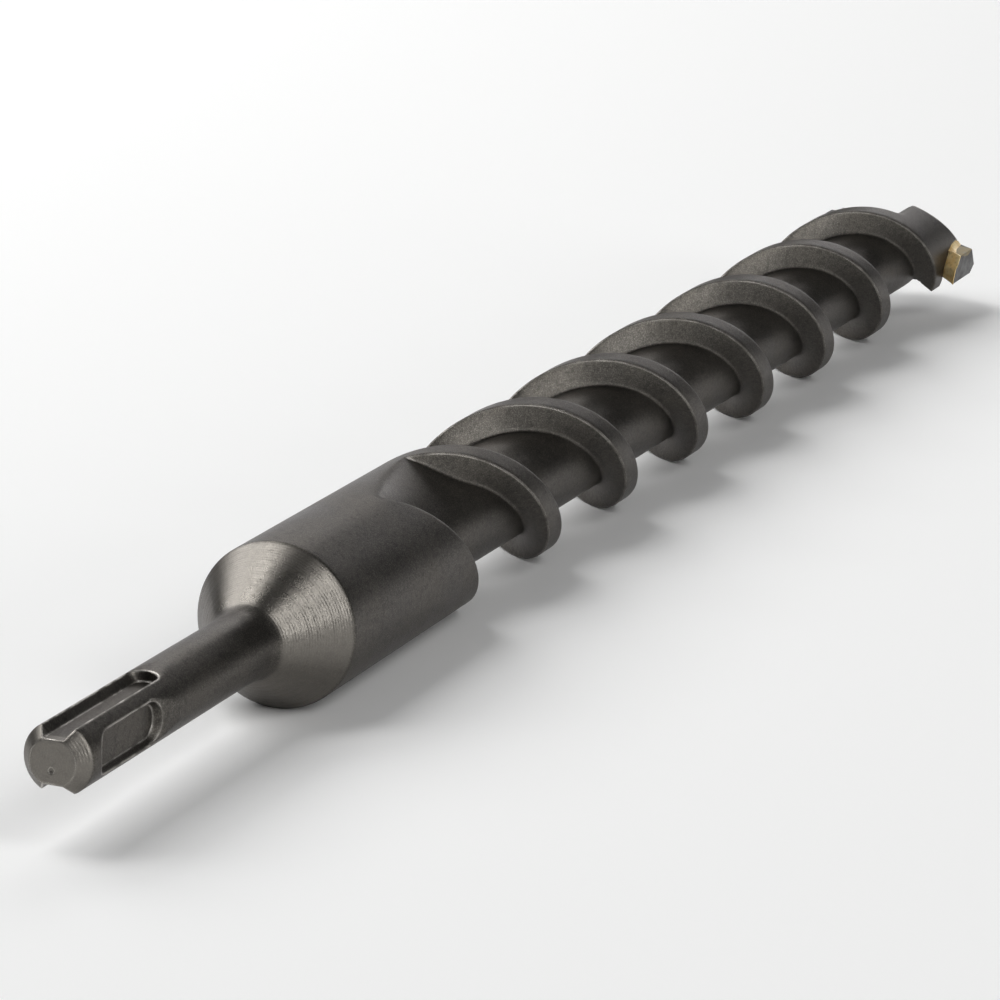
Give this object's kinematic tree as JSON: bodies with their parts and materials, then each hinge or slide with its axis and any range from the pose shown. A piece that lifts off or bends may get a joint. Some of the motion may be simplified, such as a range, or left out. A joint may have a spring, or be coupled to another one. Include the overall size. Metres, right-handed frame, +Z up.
{
  "type": "sds plus drill bit",
  "caption": "Long hammer drill bit with a slotted quick-change shank, a stepped collar, a wide helical flight and a brazed hard-metal cutting plate.",
  "frame": {"origin": "centre of the shank's end face, on the bit's axis", "axes": "+X along the bit's axis from the shank to the tip, +Z up, +Y across"},
  "size_m": [0.3715, 0.0306, 0.0244],
  "materials": {
    "dark_steel": "blasted, dark and satin",
    "hard_metal": "ground, grey",
    "braze_metal": "as brazed, golden"
  },
  "bodies": {
    "root": {"steel_body": "dark_steel", "carbide_tip": "hard_metal", "braze": "braze_metal"}
  },
  "joints": []
}
